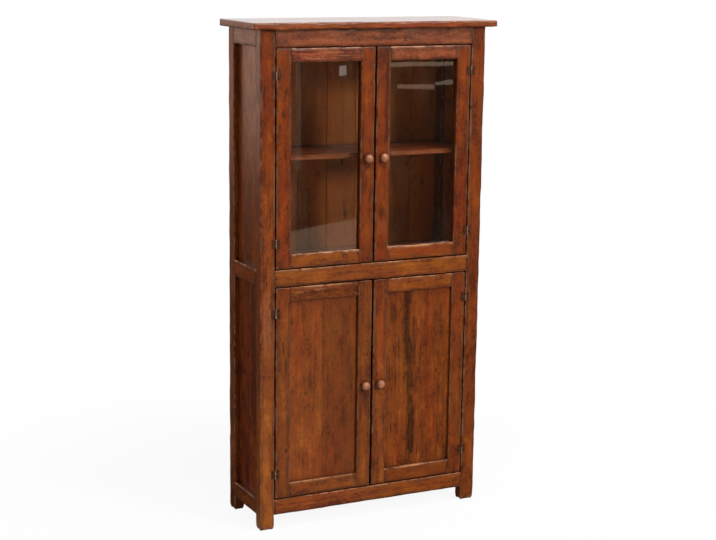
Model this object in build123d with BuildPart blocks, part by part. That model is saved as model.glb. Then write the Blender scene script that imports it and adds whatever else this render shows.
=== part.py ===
from build123d import *
import os

# Two-tier cupboard of joined pine: glazed doors above, panelled doors below.
# Origin on the floor, in the middle of the overall box. +X right, +Y back, +Z up; the doors
# face -Y. Left and right are as seen from the front. Every size is in millimetres.

# --- Driving dimensions ---
overall_height = 1800.0
carcase_width = 875.0
carcase_depth = 292.0
top_thickness = 25.0
top_side_overhang = 33.0
top_front_overhang = 27.0
top_corner_round = 9.0
top_edge_round = 6.0
top_lower_ease = 3.5

front_post_width = 55.0
front_post_depth = 42.0
back_post_width = 40.0
back_post_depth = 48.0
post_ease = 3.0
post_tenon_inset = 11.0  # faces of a post to the tenon that holds the top board
post_tenon_height = 15.0
foot_steps = ((12.0, 0.0), (5.0, 1.2), (0.0, 5.5))  # height, and how far the worn foot draws in

foot_clearance = 53.0  # floor to the underside of the bottom rails
bottom_rail_height = 57.0
middle_rail_low = 886.0
middle_rail_height = 60.0
top_rail_height = 59.0
front_rail_thickness = 29.0
side_rail_thickness = 34.0
back_rail_thickness = 20.0
rail_ease = 2.0

side_panel_recess = 18.0
side_panel_thickness = 8.0
groove_depth = 8.0
groove_slack = 0.5
tenon_shoulder = 8.0
mortise_slack = 1.0  # a mortise is this much deeper than its tenon is long
front_tenon_thickness = 10.0
front_tenon_length = 24.0
side_tenon_inset = 7.0  # outer face of a side rail to its tenon
side_tenon_thickness = 9.0
side_tenon_length = 19.0
back_tenon_thickness = 8.0
back_tenon_inset = 8.0  # back face of a back rail to its tenon
back_tenon_length = 17.0

back_board_thickness = 12.0
back_board_count = 7
back_board_gap = 0.6
back_rebate_width = 10.0
board_chamfer = 1.5

deck_thickness = 18.0
deck_stop_height = 8.0  # the decks stand this proud of the rails and stop the doors
shelf_thickness = 18.0
upper_shelf_top = 1338.0
lower_shelf_top = 508.0
shelf_setback = 45.0  # front of the carcase to the front edge of a shelf
board_slack = 0.5
cleat_width = 18.0
cleat_height = 20.0

door_thickness = 28.0
door_side_gap = 4.0
door_end_gap = 3.5
door_meeting_gap = 7.0
stile_width = 54.0
glazed_rail_height = 49.0
panelled_top_rail_height = 52.0
panelled_bottom_rail_height = 54.0
door_ease = 2.5
door_tenon_length = 35.0
door_tenon_thickness = 10.0
door_tenon_inset = 4.5  # front face of the door to its tenons
rebate_width = 8.0
door_panel_recess = 12.0
door_panel_thickness = 10.0
glass_recess = 15.0
glass_thickness = 3.0
glass_slack = 1.0
bead_bevel = 3.0
bead_gap = 0.3

knob_seat = 2.0  # the neck is let this far into the stile
knob_neck = (7.0, 6.0)  # radius, and distance in front of the stile
knob_head = ((13.5, 10.0), (15.0, 15.0), (12.5, 21.5), (7.0, 25.0), (0.0, 26.0))  # the same
upper_knob_height = 1324.0
lower_knob_height = 497.0

hinge_end_distance = 91.0  # door end to hinge centre
pin_radius = 1.5
pin_clearance = 0.06
pin_proud = 3.0  # wood face to pin axis
knuckle_radius = 2.8
middle_knuckle_half = 6.0
knuckle_gap = 0.25
knuckle_reach = 15.0  # hinge centre to the outer end of the post leaf's knuckles
leaf_thickness = 1.5
leaf_inner = 3.2  # pin axis to the inner edge of a wing
leaf_outer = 14.0
leaf_point = 1.4  # how far each lobe comes past the notch between them
leaf_inner_half = 11.5
leaf_outer_half = 17.0

# --- Lines worked out from them ---
half_width = carcase_width / 2
overall_depth = carcase_depth + top_front_overhang
back = overall_depth / 2
front = back - carcase_depth
carcase_top = overall_height - top_thickness
opening_half = half_width - front_post_width
back_opening_half = half_width - back_post_width
front_post_back = front + front_post_depth
back_post_front = back - back_post_depth
bay_middle = (front_post_back + back_post_front) / 2
board_front = back - back_board_thickness
panel_outer = half_width - side_panel_recess
panel_inner = panel_outer - side_panel_thickness
side_rail_inner = half_width - side_rail_thickness
deck_front = front + front_rail_thickness

bottom_level = (foot_clearance, foot_clearance + bottom_rail_height)
middle_level = (middle_rail_low, middle_rail_low + middle_rail_height)
top_level = (carcase_top - top_rail_height, carcase_top)
rail_levels = {"bottom": bottom_level, "middle": middle_level, "top": top_level}
bay_levels = {"lower": (bottom_level[1], middle_level[0]), "upper": (middle_level[1], top_level[0])}
deck_tops = {"lower": bottom_level[1] + deck_stop_height, "upper": middle_level[1] + deck_stop_height}
shelf_tops = {"lower": lower_shelf_top, "upper": upper_shelf_top}
# A back rail that carries a deck ends at the deck's underside.
back_rail_levels = {
    "bottom": (bottom_level[0], deck_tops["lower"] - deck_thickness),
    "middle": (middle_level[0], deck_tops["upper"] - deck_thickness),
    "top": top_level,
}
sides = {"left": -1, "right": 1}
front_tenon_y = (front + tenon_shoulder, front + tenon_shoulder + front_tenon_thickness)
back_tenon_y = (board_front - back_tenon_inset - back_tenon_thickness, board_front - back_tenon_inset)
post_sections = {"front": (front_post_width, front_post_depth), "back": (back_post_width, back_post_depth)}
post_centres = {
    "front": (half_width - front_post_width / 2, front + front_post_depth / 2),
    "back": (half_width - back_post_width / 2, back - back_post_depth / 2),
}


def centre(span):
    return (span[0] + span[1]) / 2


def widened(span, amount):
    return (span[0] - amount, span[1] + amount)


def mirrored(side, near, far):
    return (side * near, side * far)


def tenon_span(level):
    return widened(level, -tenon_shoulder)


def save(piece, name):
    piece.part.label = name
    export_step(piece.part, os.path.join("parts", name + ".step"))


def block(x_span, y_span, z_span, mode=Mode.SUBTRACT):
    # A square-cornered pocket or tongue between three pairs of faces.
    with Locations((centre(x_span), centre(y_span), centre(z_span))):
        Box(
            abs(x_span[1] - x_span[0]),
            abs(y_span[1] - y_span[0]),
            abs(z_span[1] - z_span[0]),
            mode=mode,
        )


def notch(x_span, y_span):
    with Locations((centre(x_span), centre(y_span))):
        Rectangle(abs(x_span[1] - x_span[0]), abs(y_span[1] - y_span[0]), mode=Mode.SUBTRACT)


def notch_at_back_post(side, half):
    x_inner = back_opening_half - board_slack
    notch(mirrored(side, x_inner, half), (back_post_front - board_slack, board_front))


def eased_rectangle(section, place, width, height, ease):
    # The cross-section of a planed timber with its four arrises taken off.
    with Locations(place):
        Rectangle(width, height)
    chamfer(section.vertices(), ease)


def top_tenon_spans(side, place):
    x, y = post_centres[place]
    width, depth = post_sections[place]
    x_span = widened((side * x, side * x), width / 2 - post_tenon_inset)
    y_span = widened((y, y), depth / 2 - post_tenon_inset)
    return x_span, y_span


# --- Posts ---
side_tenon_near = half_width - side_tenon_inset
side_tenon_far = side_tenon_near - side_tenon_thickness


def post(name, place, side, rail_face, inward, extra_cuts):
    # rail_face is the Y of the face that the side rails meet, and inward points into the post.
    x, y = post_centres[place]
    width, depth = post_sections[place]
    foot_top = foot_steps[0][0]
    with BuildPart() as leg:
        with BuildSketch(Plane.XY.offset(foot_top)) as section:
            eased_rectangle(section, (side * x, y), width, depth, post_ease)
        extrude(amount=carcase_top - foot_top)
        # The worn end of the foot draws in all round.
        for height, draw in foot_steps:
            with BuildSketch(Plane.XY.offset(height)) as section:
                eased_rectangle(section, (side * x, y), width - 2 * draw, depth - 2 * draw, post_ease + draw)
        loft(ruled=True)
        # Grooves for the loose side panels of both bays.
        for level in bay_levels.values():
            block(
                mirrored(side, panel_outer, panel_inner),
                (rail_face, rail_face + inward * groove_depth),
                widened(level, groove_depth),
            )
        # Mortises for the side rails, then those for the front or back rails.
        for level in rail_levels.values():
            block(
                mirrored(side, side_tenon_near, side_tenon_far),
                (rail_face, rail_face + inward * (side_tenon_length + mortise_slack)),
                tenon_span(level),
            )
        extra_cuts(side)
        # Tenon for the top board.
        block(*top_tenon_spans(side, place), (carcase_top, carcase_top + post_tenon_height), Mode.ADD)
    save(leg, name)


def front_post_cuts(side):
    reach = opening_half + front_tenon_length + mortise_slack
    for level in rail_levels.values():
        block(mirrored(side, opening_half, reach), front_tenon_y, tenon_span(level))


def back_post_cuts(side):
    reach = back_opening_half + back_tenon_length + mortise_slack
    for level in back_rail_levels.values():
        block(mirrored(side, back_opening_half, reach), back_tenon_y, tenon_span(level))
    # Rebate for the edge of the outermost back board.
    block(
        mirrored(side, back_opening_half, back_opening_half + back_rebate_width),
        (board_front, back),
        (foot_clearance, carcase_top),
    )


# --- Rails ---
def cross_rail(name, level, half_length, y_span, tenon_y, tenon_length):
    # A rail along X with one tongue at each end.
    height = level[1] - level[0]
    with BuildPart() as rail:
        with BuildSketch(Plane.YZ.offset(-half_length)) as section:
            eased_rectangle(section, (centre(y_span), centre(level)), y_span[1] - y_span[0], height, rail_ease)
        extrude(amount=2 * half_length)
        reach = half_length + tenon_length
        block((-reach, reach), tenon_y, tenon_span(level), Mode.ADD)
    save(rail, name)


def side_rail(name, side, level, grooves):
    # A rail along Y between the posts, grooved along each edge that a side panel meets.
    x_middle = side * centre((half_width, side_rail_inner))
    height = level[1] - level[0]
    y_span = (front_post_back, back_post_front)
    with BuildPart() as rail:
        with BuildSketch(Plane.XZ.offset(-back_post_front)) as section:
            eased_rectangle(section, (x_middle, centre(level)), side_rail_thickness, height, rail_ease)
        extrude(amount=back_post_front - front_post_back)
        block(
            mirrored(side, side_tenon_near, side_tenon_far),
            widened(y_span, side_tenon_length),
            tenon_span(level),
            Mode.ADD,
        )
        for edge, inward in grooves:
            block(mirrored(side, panel_outer, panel_inner), y_span, (edge, edge + inward * groove_depth))
    save(rail, name)


# --- Panels and boards ---
def side_panel(name, side, level):
    edge = groove_depth - groove_slack
    with BuildPart() as panel:
        with BuildSketch(Plane.YZ.offset(side * panel_inner)):
            with Locations((bay_middle, centre(level))):
                Rectangle(back_post_front - front_post_back + 2 * edge, level[1] - level[0] + 2 * edge)
        extrude(amount=side * side_panel_thickness)
    save(panel, name)


def deck(name, top):
    # Notched round all four posts; its front edge stops the doors.
    half = side_rail_inner - board_slack
    front_notch = (deck_front, front_post_back + board_slack)
    with BuildPart() as board:
        with BuildSketch(Plane.XY.offset(top - deck_thickness)):
            with Locations((0, centre((deck_front, board_front)))):
                Rectangle(2 * half, board_front - deck_front)
            for side in sides.values():
                notch(mirrored(side, opening_half - board_slack, half), front_notch)
                notch_at_back_post(side, half)
        extrude(amount=deck_thickness)
    save(board, name)


def shelf(name, top):
    # Notched round the back posts, with both arrises of the front edge taken off.
    half = panel_inner - board_slack
    shelf_front = front + shelf_setback
    with BuildPart() as board:
        with BuildSketch(Plane.XY.offset(top - shelf_thickness)):
            with Locations((0, centre((shelf_front, board_front)))):
                Rectangle(2 * half, board_front - shelf_front)
            for side in sides.values():
                notch_at_back_post(side, half)
        extrude(amount=shelf_thickness)
        chamfer(board.faces().sort_by(Axis.Y)[0].edges().filter_by(Axis.X), rail_ease)
    save(board, name)


def back_boards(name):
    # Vertical boards with a bevelled joint line on both faces.
    pitch = 2 * (back_opening_half + back_rebate_width) / back_board_count
    with BuildPart() as boards:
        with BuildSketch(Plane.XY.offset(foot_clearance)) as section:
            with Locations((0, centre((board_front, back)))):
                with GridLocations(pitch, 0, back_board_count, 1):
                    Rectangle(pitch - back_board_gap, back_board_thickness)
            chamfer(section.vertices(), board_chamfer)
        extrude(amount=carcase_top - foot_clearance)
    save(boards, name)


def cleats(name, undersides, wall):
    # A strip under each end of each board, from front post to back post, fixed to the wall beside
    # it and bevelled along its lower inner edge.
    with BuildPart() as strips:
        for underside in undersides:
            with BuildSketch(Plane.XZ.offset(-back_post_front)) as section:
                with Locations((0, underside - cleat_height / 2)):
                    with GridLocations(2 * wall - cleat_width, 0, 2, 1):
                        Rectangle(cleat_width, cleat_height)
                chamfer(section.vertices().group_by(Axis.Y)[0].sort_by(Axis.X)[1:3], board_chamfer)
            extrude(amount=back_post_front - front_post_back)
    save(strips, name)


# --- Top ---
def top_board(name):
    # Well rounded above, eased below, and mortised for the tenons of the posts.
    with BuildPart() as board:
        with BuildSketch(Plane.XY.offset(carcase_top)):
            RectangleRounded(carcase_width + 2 * top_side_overhang, overall_depth, top_corner_round)
        extrude(amount=top_thickness)
        chamfer(board.faces().sort_by(Axis.Z)[0].edges(), top_lower_ease)
        fillet(board.faces().sort_by(Axis.Z)[-1].edges(), top_edge_round)
        mortise_top = carcase_top + post_tenon_height + mortise_slack
        for side in sides.values():
            for place in post_centres:
                block(*top_tenon_spans(side, place), (carcase_top, mortise_top))
    save(board, name)


# --- Doors ---
hinge_edge = opening_half - door_side_gap
meeting_edge = door_meeting_gap / 2
sight_outer = hinge_edge - stile_width
sight_inner = meeting_edge + stile_width
door_y = (front, front + door_thickness)
door_tenon_y = (front + door_tenon_inset, front + door_tenon_inset + door_tenon_thickness)
glass_y = (front + glass_recess, front + glass_recess + glass_thickness)
panel_y = (front + door_panel_recess, front + door_panel_recess + door_panel_thickness)
bead_y = (glass_y[1], door_y[1])

door_levels = {
    "upper": (middle_level[1] + door_end_gap, top_level[0] - door_end_gap),
    "lower": (bottom_level[1] + door_end_gap, middle_level[0] - door_end_gap),
}
sight_levels = {
    "upper": (door_levels["upper"][0] + glazed_rail_height, door_levels["upper"][1] - glazed_rail_height),
    "lower": (
        door_levels["lower"][0] + panelled_bottom_rail_height,
        door_levels["lower"][1] - panelled_top_rail_height,
    ),
}
# The glass lies in a rebate that is open to the back; the wooden panel lies in a groove.
housing_y = {"upper": (glass_y[0], door_y[1]), "lower": panel_y}
knob_heights = {"upper": upper_knob_height, "lower": lower_knob_height}


def door_tenon_spans(tier):
    door, sight = door_levels[tier], sight_levels[tier]
    clear = rebate_width + mortise_slack
    return {
        "bottom": (door[0] + tenon_shoulder, sight[0] - clear),
        "top": (sight[1] + clear, door[1] - tenon_shoulder),
    }


def turned_knob():
    # Turned about the Y axis, with the face of the stile at Y = 0: a straight neck, a flared
    # underside, and a head brought in to a flat crown by three bevels.
    outline = [(radius, -reach) for radius, reach in (knob_neck, *knob_head)]
    with BuildPart() as turning:
        with BuildSketch():
            with BuildLine():
                Polyline((0, knob_seat), (knob_neck[0], knob_seat), *outline, close=True)
            make_face()
        revolve(axis=Axis.Y)
    return turning.part


knob = turned_knob()


def stile(name, tier, side, outer, sight, has_knob):
    # outer is the edge of the door, and sight is the edge of the glass or panel.
    into_wood = 1 if abs(outer) > abs(sight) else -1
    x_middle = side * centre((outer, sight))
    with BuildPart() as upright:
        with BuildSketch(Plane.XY.offset(door_levels[tier][0])) as section:
            eased_rectangle(section, (x_middle, centre(door_y)), stile_width, door_thickness, door_ease)
        extrude(amount=door_levels[tier][1] - door_levels[tier][0])
        block(
            mirrored(side, sight, sight + into_wood * rebate_width),
            housing_y[tier],
            widened(sight_levels[tier], rebate_width),
        )
        for tenon in door_tenon_spans(tier).values():
            reach = sight + into_wood * (door_tenon_length + mortise_slack)
            block(mirrored(side, sight, reach), door_tenon_y, tenon)
        if has_knob:
            with Locations((x_middle, front, knob_heights[tier])):
                add(knob)
    save(upright, name)


def door_rail(name, tier, side, edge):
    door, sight = door_levels[tier], sight_levels[tier]
    level = (door[0], sight[0]) if edge == "bottom" else (sight[1], door[1])
    housed = sight[0] - rebate_width if edge == "bottom" else sight[1]
    x_span = sorted(mirrored(side, sight_inner, sight_outer))
    height = level[1] - level[0]
    with BuildPart() as rail:
        with BuildSketch(Plane.YZ.offset(x_span[0])) as section:
            eased_rectangle(section, (centre(door_y), centre(level)), door_thickness, height, door_ease)
        extrude(amount=x_span[1] - x_span[0])
        block(widened(x_span, door_tenon_length), door_tenon_y, door_tenon_spans(tier)[edge], Mode.ADD)
        block(x_span, housing_y[tier], (housed, housed + rebate_width))
    save(rail, name)


def infill(name, side, tier, y_span, slack):
    # The glass pane or the flat panel, with a little room in its housing.
    reach = rebate_width - slack
    x_span = widened(sorted(mirrored(side, sight_inner, sight_outer)), reach)
    z_span = widened(sight_levels[tier], reach)
    with BuildPart() as sheet:
        with BuildSketch(Plane.XZ.offset(-y_span[1])):
            with Locations((centre(x_span), centre(z_span))):
                Rectangle(x_span[1] - x_span[0], z_span[1] - z_span[0])
        extrude(amount=y_span[1] - y_span[0])
    save(sheet, name)


def glazing_beads(name, side, tier):
    # Four strips behind the glass, bevelled along the inner back edge.
    x_sight = sorted(mirrored(side, sight_inner, sight_outer))
    z_sight = sight_levels[tier]
    depth = bead_y[1] - bead_y[0]
    with BuildPart() as beads:
        with BuildSketch(Plane.XY.offset(z_sight[0] - rebate_width)) as uprights:
            with Locations((centre(x_sight), centre(bead_y))):
                with GridLocations(x_sight[1] - x_sight[0] + rebate_width, 0, 2, 1):
                    Rectangle(rebate_width, depth)
            chamfer(uprights.vertices().group_by(Axis.Y)[-1].sort_by(Axis.X)[1:3], bead_bevel)
        extrude(amount=z_sight[1] - z_sight[0] + 2 * rebate_width)
        with BuildSketch(Plane.YZ.offset(x_sight[0] + bead_gap)) as levels:
            with Locations((centre(bead_y), centre(z_sight))):
                with GridLocations(0, z_sight[1] - z_sight[0] + rebate_width, 1, 2):
                    Rectangle(depth, rebate_width)
            chamfer(levels.vertices().group_by(Axis.X)[-1].sort_by(Axis.Y)[1:3], bead_bevel)
        extrude(amount=x_sight[1] - x_sight[0] - 2 * bead_gap)
    save(beads, name)


# --- Hinges ---
# A hinge is drawn about its pin, along Z through the origin, with the wood face at Y = pin_proud.
pin_x = opening_half - door_side_gap / 2
pin_y = front - pin_proud


def leaf(hand, knuckles):
    # A butterfly wing, flared from the knuckles to two pointed lobes, with solid knuckles.
    inner, outer = hand * leaf_inner, hand * leaf_outer
    lobe_x, lobe_z = outer + hand * leaf_point, leaf_outer_half / 2
    with BuildPart() as whole:
        with BuildSketch(Plane.XZ.offset(-pin_proud)):
            with BuildLine():
                Polyline(
                    (inner, -leaf_inner_half),
                    (inner, leaf_inner_half),
                    (outer, leaf_outer_half),
                    (lobe_x, lobe_z),
                    (outer, 0),
                    (lobe_x, -lobe_z),
                    (outer, -leaf_outer_half),
                    close=True,
                )
            make_face()
        extrude(amount=leaf_thickness)
        for low, high in knuckles:
            with BuildSketch(Plane.XY.offset(low)):
                Circle(knuckle_radius)
                with Locations((inner / 2, pin_proud - leaf_thickness / 2)):
                    Rectangle(leaf_inner, leaf_thickness)
            extrude(amount=high - low)
    return whole.part


def door_leaf():
    # The middle knuckle is bored and turns on the pin.
    with BuildPart() as bored:
        add(leaf(1, [(-middle_knuckle_half, middle_knuckle_half)]))
        with BuildSketch(Plane.XY.offset(-middle_knuckle_half)):
            Circle(pin_radius + pin_clearance)
        extrude(amount=2 * middle_knuckle_half, mode=Mode.SUBTRACT)
    return bored.part


def post_leaf():
    # The pin is riveted into the two outer knuckles and is one piece with them.
    start = middle_knuckle_half + knuckle_gap
    with BuildPart() as riveted:
        add(leaf(-1, [(-knuckle_reach, -start), (start, knuckle_reach)]))
        with BuildSketch(Plane.XY.offset(-start)):
            Circle(pin_radius)
        extrude(amount=2 * start)
    return riveted.part


def hinge_heights(tier):
    low, high = door_levels[tier]
    return (low + hinge_end_distance, high - hinge_end_distance)


def hinge_pieces(name, piece, hands, tiers):
    # Half a turn about Y makes a left-hand leaf a right-hand one.
    with BuildPart() as pieces:
        for side in hands:
            turn = (0, 0, 0) if side < 0 else (0, 180, 0)
            for tier in tiers:
                for z in hinge_heights(tier):
                    with Locations(Location((side * pin_x, pin_y, z), turn)):
                        add(piece)
    save(pieces, name)


# --- The whole cupboard ---
os.makedirs("parts", exist_ok=True)

for hand, side in sides.items():
    post(f"front_{hand}_post", "front", side, front_post_back, -1, front_post_cuts)
    post(f"back_{hand}_post", "back", side, back_post_front, 1, back_post_cuts)
    side_rail(f"{hand}_bottom_rail", side, bottom_level, [(bottom_level[1], -1)])
    side_rail(f"{hand}_middle_rail", side, middle_level, [(middle_level[0], 1), (middle_level[1], -1)])
    side_rail(f"{hand}_top_rail", side, top_level, [(top_level[0], 1)])
    for tier, level in bay_levels.items():
        side_panel(f"{hand}_{tier}_panel", side, level)

front_rail_y = (front, deck_front)
back_rail_y = (board_front - back_rail_thickness, board_front)
for word, level in rail_levels.items():
    cross_rail(f"front_{word}_rail", level, opening_half, front_rail_y, front_tenon_y, front_tenon_length)
for word, level in back_rail_levels.items():
    cross_rail(f"back_{word}_rail", level, back_opening_half, back_rail_y, back_tenon_y, back_tenon_length)

for tier in bay_levels:
    deck(f"{tier}_deck", deck_tops[tier])
    shelf(f"{tier}_shelf", shelf_tops[tier])
cleats("deck_cleats", [top - deck_thickness for top in deck_tops.values()], side_rail_inner)
cleats("shelf_cleats", [top - shelf_thickness for top in shelf_tops.values()], panel_inner)
back_boards("back_boards")
top_board("top_board")

door_hinge_leaf = door_leaf()
for tier in door_levels:
    for hand, side in sides.items():
        word = f"{tier}_{hand}"
        stile(f"{word}_hinge_stile", tier, side, hinge_edge, sight_outer, False)
        stile(f"{word}_meeting_stile", tier, side, meeting_edge, sight_inner, True)
        door_rail(f"{word}_top_rail", tier, side, "top")
        door_rail(f"{word}_bottom_rail", tier, side, "bottom")
        hinge_pieces(f"{word}_hinge_leaves", door_hinge_leaf, [side], [tier])
        if tier == "upper":
            infill(f"{word}_glass", side, tier, glass_y, glass_slack)
            glazing_beads(f"{word}_beads", side, tier)
        else:
            infill(f"{word}_panel", side, tier, panel_y, groove_slack)

hinge_pieces("post_hinge_leaves", post_leaf(), sides.values(), door_levels)
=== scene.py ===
import math

import bmesh
import bpy
import numpy as np
from mathutils import Euler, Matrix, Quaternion, Vector


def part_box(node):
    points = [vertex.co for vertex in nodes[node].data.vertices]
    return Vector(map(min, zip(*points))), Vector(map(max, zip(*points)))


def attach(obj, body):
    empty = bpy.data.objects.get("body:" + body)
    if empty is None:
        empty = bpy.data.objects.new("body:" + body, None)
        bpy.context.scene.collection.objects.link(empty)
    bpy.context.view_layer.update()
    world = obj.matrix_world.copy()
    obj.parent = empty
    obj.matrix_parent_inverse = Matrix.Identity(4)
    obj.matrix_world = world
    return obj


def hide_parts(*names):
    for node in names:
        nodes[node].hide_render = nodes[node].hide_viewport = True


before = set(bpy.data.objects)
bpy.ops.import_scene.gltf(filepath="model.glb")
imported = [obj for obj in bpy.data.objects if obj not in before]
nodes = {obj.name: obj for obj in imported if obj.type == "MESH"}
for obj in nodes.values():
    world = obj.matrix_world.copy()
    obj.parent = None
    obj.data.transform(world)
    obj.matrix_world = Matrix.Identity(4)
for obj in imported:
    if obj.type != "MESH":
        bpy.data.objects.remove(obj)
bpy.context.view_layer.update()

millimetre = 0.001  # the scene is in metres; pieces made here are worked out in millimetres
sides = {"left": -1, "right": 1}
doorPlaces = [(tier, hand, side) for tier in ("upper", "lower") for hand, side in sides.items()]
# metres above the floor
knobHeights = {"upper": 1.324, "lower": 0.497}
hingeHeights = {"upper": (1.0405, 1.6215), "lower": (0.2045, 0.7915)}
print("frame loaded:", len(nodes), "nodes")

# short forms for nodes; each works in the tree that was opened last

current = {"tree": None}


def openTree(tree):
    tree.nodes.clear()
    current["tree"] = tree


def node(kind, inputs=None, **settings):
    # another node's output is linked to an input, anything else is set there
    made = current["tree"].nodes.new(kind if kind.startswith("NodeGroup") else f"ShaderNode{kind}")
    for name, value in settings.items():
        setattr(made, name, value)
    for key, value in (inputs or {}).items():
        if isinstance(value, bpy.types.NodeSocket):
            current["tree"].links.new(value, made.inputs[key])
        else:
            made.inputs[key].default_value = value
    return made.outputs


def number(operation, *values, clamp=False):
    return node("Math", dict(enumerate(values)), operation=operation, use_clamp=clamp)[0]


def times(first, second):
    return number("MULTIPLY", first, second)


def plus(first, second):
    return number("ADD", first, second)


def minus(first, second):
    return number("SUBTRACT", first, second)


def larger(first, second):
    return number("MAXIMUM", first, second)


def timesPlus(value, factor, offset):
    return number("MULTIPLY_ADD", value, factor, offset)


def ramp(value, low, high, bottom=0.0, top=1.0):
    # smooth step of value from low to high, put between bottom and top
    given = {"Value": value, "From Min": low, "From Max": high, "To Min": bottom, "To Max": top}
    return node("MapRange", given, interpolation_type="SMOOTHSTEP")[0]


def blendColour(share, first, second, mode="MIX"):
    given = {0: share, 6: first, 7: second}
    return node("Mix", given, data_type="RGBA", blend_type=mode)[2]


def tinted(share, colour, factor):
    # the colour, multiplied by the factor in the given share
    return blendColour(share, colour, blendColour(1.0, colour, factor, "MULTIPLY"))


def scaled(vector, factors):
    return node("VectorMath", {0: vector, 1: factors}, operation="MULTIPLY")[0]


def shifted(vector, offset):
    return node("VectorMath", {0: vector, 1: offset}, operation="ADD")[0]


def noise(vector, cycles, detail=3.0, roughness=0.55):
    # cycles per metre across, across and along the grain; gives a value and a colour
    given = {"Vector": scaled(vector, cycles), "Scale": 1.0, "Detail": detail, "Roughness": roughness}
    return node("TexNoise", given)


def cloud(vector, cycles, detail=3.0, roughness=0.55):
    return noise(vector, cycles, detail, roughness)[0]


def onObject():
    # the place on the object, and its three coordinates
    position = node("TexCoord")["Object"]
    return position, node("SeparateXYZ", {0: position})


def bumped(strength, distance, height, normal=None):
    given = {"Strength": strength, "Distance": distance, "Height": height}
    if normal is not None:
        given["Normal"] = normal
    return node("Bump", given)[0]


def mixShaders(share, first, second):
    return node("MixShader", {0: share, 1: first, 2: second})[0]


def newMaterial(name):
    material = bpy.data.materials.new(name)
    material.use_nodes = True
    openTree(material.node_tree)
    return material


def surface(shader):
    node("OutputMaterial", {"Surface": shader})


def dress(name, material):
    nodes[name].data.materials.clear()
    nodes[name].data.materials.append(material)


# wood: the figure shared by every board

# cycles per metre across, across and along the grain, then detail and roughness
noises = {
    "ringDrift": ((4.5, 4.5, 1.1), 2.0, 0.50),
    "ringWobble": ((22.0, 22.0, 2.2), 3.0, 0.55),
    "knotEdge": ((190.0, 190.0, 110.0), 2.0, 0.55),
    "broad": ((15.0, 15.0, 0.9), 3.0, 0.60),
    "middle": ((62.0, 62.0, 2.6), 4.0, 0.62),
    "fine": ((330.0, 330.0, 11.0), 3.0, 0.60),
    "speckle": ((120.0, 120.0, 88.0), 4.0, 0.70),
    "mottle": ((30.0, 30.0, 15.0), 5.0, 0.62),
    "shade": ((12.0, 12.0, 4.5), 2.0, 0.55),
    "hue": ((13.0, 13.0, 2.2), 3.0, 0.60),
    "fleck": ((210.0, 210.0, 42.0), 2.0, 0.50),
    "markEdge": ((60.0, 60.0, 25.0), 3.0, 0.55),
    "patchy": ((34.0, 34.0, 34.0), 2.0, 0.55),
    "handWave": ((24.0, 24.0, 8.0), 2.0, 0.55),
}

figure = {
    "drift": (0.026, 0.026, 0.0),  # metres that the growth rings wander
    "wobble": 1.6,  # rings by which noise bends them
    "knotBend": 1.5,  # rings by which a knot bends them
    "early": (0.10, 0.86),  # share of a ring over which late wood darkens
    "late": (1.0, 0.88),  # and over which it ends
    "knotCells": (9.5, 9.5, 4.4),  # cells per metre that may hold a knot
    "knotChance": (0.50, 0.54),
    "knotSize": (0.055, 0.030),  # the span of sizes and the least, in cells
    "knotRagged": 0.9,
    "core": (1.10, 0.55),  # knot sizes from the middle
    "halo": (5.5, 0.9),
    "haloDark": 0.16,
    "streaks": {"broad": 0.58, "middle": 0.55, "fine": 0.34},  # strength of those 60, 14 and 3 mm wide
    "streakGain": 1.6,
    "patches": {"speckle": 1.15, "mottle": 1.20, "shade": 0.75},
    "darkToMiddle": (0.02, 0.50),  # tones over which one stain colour gives way to the next
    "middleToLight": (0.48, 0.98),
    # colours, the noise levels over which they set in, and the most of them
    "redder": (1.02, 0.82, 0.84, 1),
    "redRange": (0.47, 0.66),
    "yellower": (1.06, 1.16, 1.04, 1),
    "yellowRange": (0.48, 0.34),
    "knot": (0.020, 0.006, 0.003, 1),
    "knotShare": 0.9,
    "fleck": (0.34, 0.26, 0.26, 1),
    "fleckRange": (0.62, 0.71),
    "fleckShare": 0.75,
    "poreRange": (0.37, 0.29),
    "poreShare": 0.45,
    "allowed": ((0.62, 0.46), (0.62, 0.45)),  # mottle where flecks lie, and streaks where pores lie
    "shifts": {"shade": (0.7, 2.3, 1.9), "hue": (3.1, 1.7, 0.4)},  # so that no two noises rise together
    "heights": {"late": -0.25, "fine": 0.40, "pores": -0.4, "core": -0.5, "fleck": -0.3},
}

figureNumbers = ("ring", "contrast", "knots", "mottle", "streaks", "level")


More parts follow.
